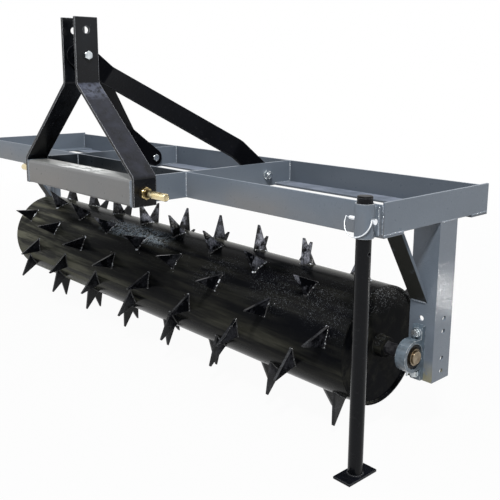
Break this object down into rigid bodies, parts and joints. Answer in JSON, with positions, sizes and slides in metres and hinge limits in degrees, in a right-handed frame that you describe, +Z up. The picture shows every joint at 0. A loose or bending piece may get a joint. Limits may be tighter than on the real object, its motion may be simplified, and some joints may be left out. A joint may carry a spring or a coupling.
{
  "type": "spike aerator",
  "caption": "Towed lawn and pasture aerator: a spiked steel drum under a tray frame with a three point hitch mast and a parking stand.",
  "frame": {"origin": "ground point under the middle of the object's box, which is on the drum's middle plane", "axes": "+X along the drum to the end with the parking stand, +Y backwards away from the tractor, +Z up"},
  "size_m": [2.092, 0.635, 1.1043],
  "materials": {
    "frame_paint": "satin",
    "black_paint": "gloss",
    "housing_paint": "satin",
    "zinc": "satin",
    "yellow_zinc": "satin",
    "bare_steel": "satin",
    "plastic_plug": "matte"
  },
  "bodies": {
    "frame": {"rear_rail": "frame_paint", "left_end_rail": "frame_paint", "right_end_rail": "frame_paint", "front_rail_left": "frame_paint", "front_rail_middle": "frame_paint", "front_rail_right": "frame_paint", "left_cross_member": "frame_paint", "right_cross_member": "frame_paint", "hitch_tube": "frame_paint", "left_upright": "frame_paint", "right_upright": "frame_paint", "left_strut": "frame_paint", "right_strut": "frame_paint", "left_mast_strap": "black_paint", "right_mast_strap": "black_paint", "left_rear_brace": "black_paint", "right_rear_brace": "black_paint", "mast_spacer": "black_paint", "mast_bolt": "zinc", "brace_bolts": "zinc", "brace_nuts": "zinc", "lock_washers": "zinc", "left_hitch_pin": "yellow_zinc", "right_hitch_pin": "yellow_zinc", "hitch_pin_nuts": "yellow_zinc", "left_bearing_housing": "housing_paint", "right_bearing_housing": "housing_paint", "left_outer_ring": "zinc", "right_outer_ring": "zinc", "bearing_bolts": "zinc", "bearing_nuts": "zinc", "bearing_washers": "zinc", "stand_sleeve": "frame_paint", "stand_standoff": "frame_paint", "stand_leg": "black_paint", "stand_foot": "black_paint", "stand_cap": "plastic_plug"},
    "drum": {"drum_shell": "black_paint", "left_end_disc": "black_paint", "right_end_disc": "black_paint", "left_hub": "black_paint", "right_hub": "black_paint", "drum_shaft": "bare_steel", "left_inner_ring": "zinc", "right_inner_ring": "zinc", "spikes_1": "black_paint", "spikes_2": "black_paint", "spikes_3": "black_paint", "spikes_4": "black_paint", "spikes_5": "black_paint", "spikes_6": "black_paint", "spikes_7": "black_paint", "spikes_8": "black_paint"},
    "left_ball_set": {"left_balls": "zinc"},
    "right_ball_set": {"right_balls": "zinc"},
    "lock_pin": {"lock_pin": "zinc"},
    "lock_bail": {"lock_bail": "zinc"}
  },
  "joints": [
    {"name": "drum_spin", "type": "hinge", "parent": "frame", "child": "drum", "pos_m": [0, 0.0566, 0.24036], "axis": [1, 0, 0], "continuous": true},
    {"name": "left_ball_spin", "type": "hinge", "parent": "frame", "child": "left_ball_set", "pos_m": [-1.004, 0.0566, 0.24036], "axis": [1, 0, 0], "continuous": true},
    {"name": "right_ball_spin", "type": "hinge", "parent": "frame", "child": "right_ball_set", "pos_m": [1.004, 0.0566, 0.24036], "axis": [1, 0, 0], "continuous": true},
    {"name": "lock_pin_turn", "type": "hinge", "parent": "frame", "child": "lock_pin", "pos_m": [1.016, -0.16245, 0.62309], "axis": [-1, 0, 0], "range_deg": [0, 100]},
    {"name": "bail_open", "type": "hinge", "parent": "lock_pin", "child": "lock_bail", "pos_m": [1.04315, -0.16245, 0.62309], "axis": [0, -0.9241, 0.3823], "range_deg": [0, 90], "stiffness_Nm_per_rad": 0.05}
  ],
  "couplings": [
    {"joint": "left_ball_spin", "follows": "drum_spin", "ratio": 0.4085},
    {"joint": "right_ball_spin", "follows": "drum_spin", "ratio": 0.4085}
  ]
}
